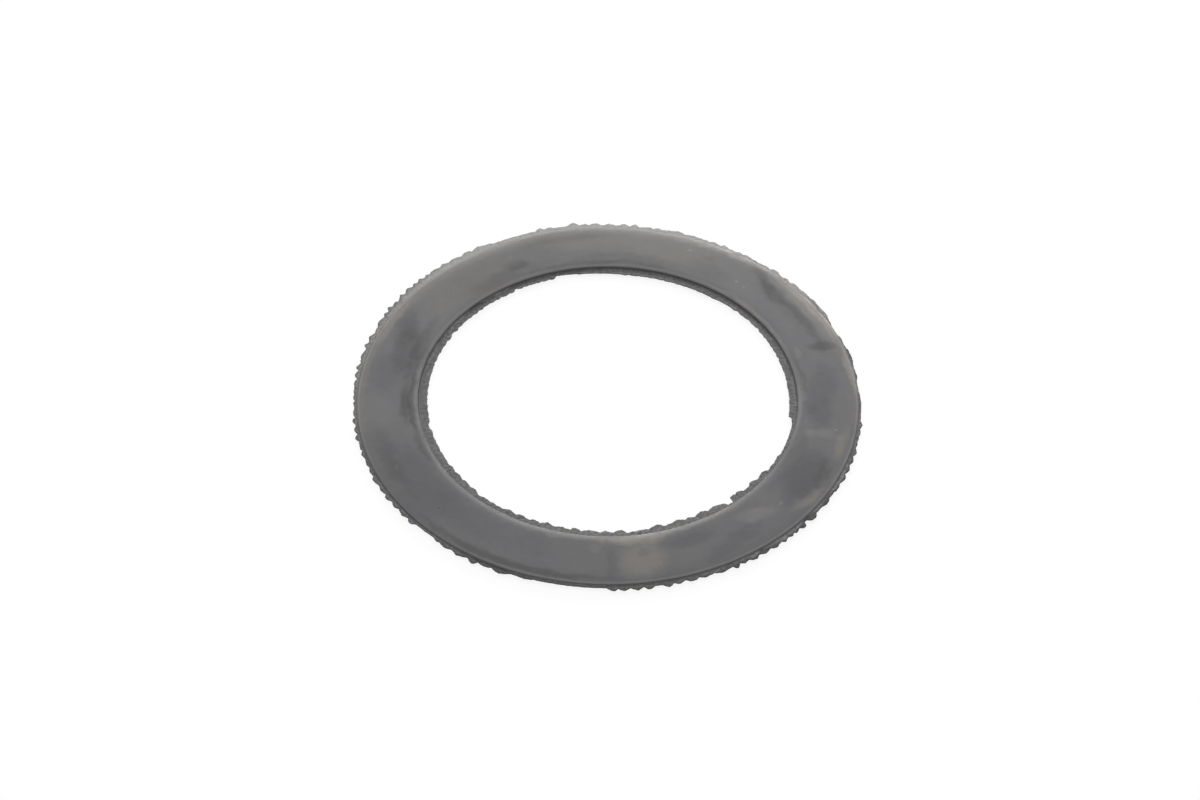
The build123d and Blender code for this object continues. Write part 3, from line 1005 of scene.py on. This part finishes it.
# the fringe behind is painted lighter, as lit by the lamp behind
outer_tone = edge_tone * crumbling * (1 - shaded_tips) * (1 + behind * BEHIND_PAINTED_LIGHT)
inner_tone = edge_tone * (1 + crumbs * INNER_CRUMBS) * (INNER_ROOT_SHADOW_TONE + tip * INNER_TIP_TONE)
outer_grey = sheet.vector("SCALE", a=OUTER_FLASH_LIT_GREY, scale=outer_tone)
inner_grey = sheet.vector("SCALE", a=INNER_FLASH_GREY, scale=inner_tone)
outwards = sheet.step(radius, BORE + WALL_SPLIT_IN, OUTER - WALL_SPLIT_IN)
walls = sheet.mix(outwards, BORE_WALL_SHADED_GREY, OUTER_WALL_LIT_GREY)
wall_grey = sheet.vector("SCALE", a=walls, scale=edge_tone * (1 + crumbs * WALL_CRUMBS))
colour = sheet.mix(wall, shaded, wall_grey)
colour = sheet.mix(outer_flash, colour, outer_grey)
colour = sheet.mix(inner_flash, colour, inner_grey)
print("colour mixed")

# %% [markdown]
# ## The rubber: gloss and relief
#
# Old rubber has a broad, dull sheen. Where the bloom is light it is a little smoother, and the
# walls and the torn flash are duller still. The relief is a bump map for what is too fine to
# model: the satin grain of the mould on the top, a coarser crumble on the flash, and a slight
# droop of the outer flash, which turns it a little away from the lamp overhead.

# %% Gloss and relief
# Heights are in millimetres, and the droop is a slope
TOP_DULLNESS, EDGE_DULLNESS = 0.38, 0.20
TONE_GLOSS, GRAIN_DULLNESS = 0.06, 0.05
SATIN, SATIN_HEIGHT = Noise(14.0, 2.0, 0.5), 0.0035
CRUMBLE, CRUMBLE_HEIGHT = Noise(5.0, 4.0, 0.65), 0.05
SMOOTH_BEHIND, WALL_CRUMBLE = 0.7, 0.5
DROOP = 0.18
RUBBER_IOR = 1.45

dullness = TOP_DULLNESS - tone * TONE_GLOSS + grain * GRAIN_DULLNESS
dullness = dullness + flash * EDGE_DULLNESS + wall * EDGE_DULLNESS
satin = sheet.noise(place, SATIN) * SATIN_HEIGHT
crumble = sheet.noise(place, CRUMBLE) * CRUMBLE_HEIGHT
droop = (radius - OUTER) * DROOP * outer_flash
crumbly = inner_flash + outer_flash * (1 - behind * SMOOTH_BEHIND) + wall * WALL_CRUMBLE
relief = satin * (1 - flash) + crumble * crumbly - droop
bump = sheet.add("ShaderNodeBump", None, {"Strength": 1.0, "Distance": MM, "Height": relief})
surface = sheet.add(
    "ShaderNodeBsdfPrincipled",
    None,
    {"Base Color": colour, "Roughness": dullness, "Normal": bump, "IOR": RUBBER_IOR},
)
sheet.add("ShaderNodeOutputMaterial", None, {"Surface": surface})
rubber_ring.data.materials.append(rubber)
print("rubber:", len(rubber.node_tree.nodes), "nodes")

# %% [markdown]
# ## The table
#
# The ring lies on plain white. A white table that is simply lit harder would also light the ring
# harder, so the table shows white in another way: to the camera and to reflections it adds light
# of its own until it is white, and to everything else it is an ordinary pale surface. A share of
# the lit surface stays in what the camera sees, so the soft shadow under the ring is still there.

# %% Table
FLOOR_DROP = 0.01
TABLE_HALF = 1.2
WHITE = (1.0, 1.0, 1.0, 1.0)
PAPER_WHITE = (0.92, 0.92, 0.92, 1.0)
GLOW_STRENGTH, GLOW_SHARE = 1.045, 0.85

table_shape = bmesh.new()
bmesh.ops.create_grid(table_shape, x_segments=1, y_segments=1, size=TABLE_HALF)
bmesh.ops.translate(table_shape, verts=table_shape.verts, vec=(0, 0, -FLOOR_DROP * MM))
table_mesh = bpy.data.meshes.new("white_table")
table_shape.to_mesh(table_mesh)
table_shape.free()
table = bpy.data.objects.new("white_table", table_mesh)
bpy.context.scene.collection.objects.link(table)

white = bpy.data.materials.new("white_table")
white.use_nodes = True
paper = Sheet(white.node_tree)


def seen_as_background(page):
    """1 for rays from the camera, in reflections and through glass, and 0 for all others."""
    ray = page.add("ShaderNodeLightPath", out="Is Camera Ray")
    outputs = ray.socket.node.outputs
    glossy = Wire(page, outputs["Is Glossy Ray"])
    through = Wire(page, outputs["Is Transmission Ray"])
    return page.math("MINIMUM", ray + glossy + through, 1.0)


lit = paper.add("ShaderNodeBsdfDiffuse", None, {"Color": PAPER_WHITE})
glow = paper.add("ShaderNodeEmission", None, {"Color": WHITE, "Strength": GLOW_STRENGTH})
glow_here = seen_as_background(paper) * GLOW_SHARE
shown = paper.add("ShaderNodeMixShader", None, {0: glow_here, 1: lit, 2: glow})
paper.add("ShaderNodeOutputMaterial", None, {"Surface": shown})
table.data.materials.append(white)
print("table ready")

# %% [markdown]
# ## The light
#
# A large soft lamp hangs overhead, a little behind the ring, and gives most of the light. A low,
# wide strip lamp stands behind the ring. Its light glances off the far shoulders and the crests
# and gives them their sheen, while the walls that face the camera stay dark. The world is white
# where it is seen and a dim grey fill everywhere else.

# %% Lamps and world


def soft_lamp(name, place, width, height, power):
    """A flat rectangular lamp that faces the ring from its place."""
    data = bpy.data.lights.new(name, "AREA")
    data.shape = "RECTANGLE"
    data.size = width
    data.size_y = height
    data.energy = power
    lamp = bpy.data.objects.new(name, data)
    lamp.location = place
    lamp.rotation_euler = (-Vector(place)).to_track_quat("-Z", "Y").to_euler()
    bpy.context.scene.collection.objects.link(lamp)


FILL_STRENGTH = 0.25
LOW_AWAY = 0.60
LOW_TURN, LOW_RISE = math.radians(85), math.radians(22)
low_place = Vector((
    math.cos(LOW_RISE) * math.cos(LOW_TURN),
    math.cos(LOW_RISE) * math.sin(LOW_TURN),
    math.sin(LOW_RISE),
)) * LOW_AWAY
soft_lamp("low_back_lamp", low_place, width=0.55, height=0.12, power=2.1)
soft_lamp("ceiling_lamp", (0.0, 0.25, 0.75), width=1.2, height=1.2, power=4.75)

world = bpy.data.worlds.new("studio")
world.use_nodes = True
bpy.context.scene.world = world
sky = Sheet(world.node_tree)
background = seen_as_background(sky)
fill = sky.add("ShaderNodeBackground", None, {"Color": WHITE, "Strength": FILL_STRENGTH})
bright = sky.add("ShaderNodeBackground", None, {"Color": WHITE, "Strength": 1.0})
both = sky.add("ShaderNodeMixShader", None, {0: background, 1: fill, 2: bright})
sky.add("ShaderNodeOutputWorld", None, {"Surface": both})
print("lamps:", [item.name for item in bpy.data.lights])

# %% [markdown]
# ## The camera
#
# A small object looks natural through a long lens from about half a metre away, and the ring's
# ellipse is then only slightly fuller in front. The camera looks down at 45 degrees, aims a little
# to one side of the ring's centre, and is turned by a third of a degree, as in a hand.

# %% Camera
LENS = 85.2
SENSOR = 36.0
DISTANCE = 0.450
NEAR_CLIP = 0.01
LOOK_DOWN = math.radians(45.15)
AIM_HEIGHT = 1.1
AIM = Vector((-1.22, -1.16, AIM_HEIGHT)) * MM
ROLL = math.radians(0.34)

camera_data = bpy.data.cameras.new("camera")
camera_data.sensor_width = SENSOR
camera_data.lens = LENS
camera_data.clip_start = NEAR_CLIP
camera = bpy.data.objects.new("camera", camera_data)
bpy.context.scene.collection.objects.link(camera)
back_off = Vector((0.0, -math.cos(LOOK_DOWN), math.sin(LOOK_DOWN))) * DISTANCE
camera_place = Vector((0.0, 0.0, AIM_HEIGHT * MM)) + back_off
look = (AIM - camera_place).to_track_quat("-Z", "Y").to_matrix()
camera.matrix_world = Matrix.Translation(camera_place) @ (
    look @ Matrix.Rotation(ROLL, 3, "Z")
).to_4x4()
bpy.context.scene.camera = camera
bpy.context.scene.view_settings.view_transform = "Standard"
print("camera at", [round(v, 3) for v in camera_place])
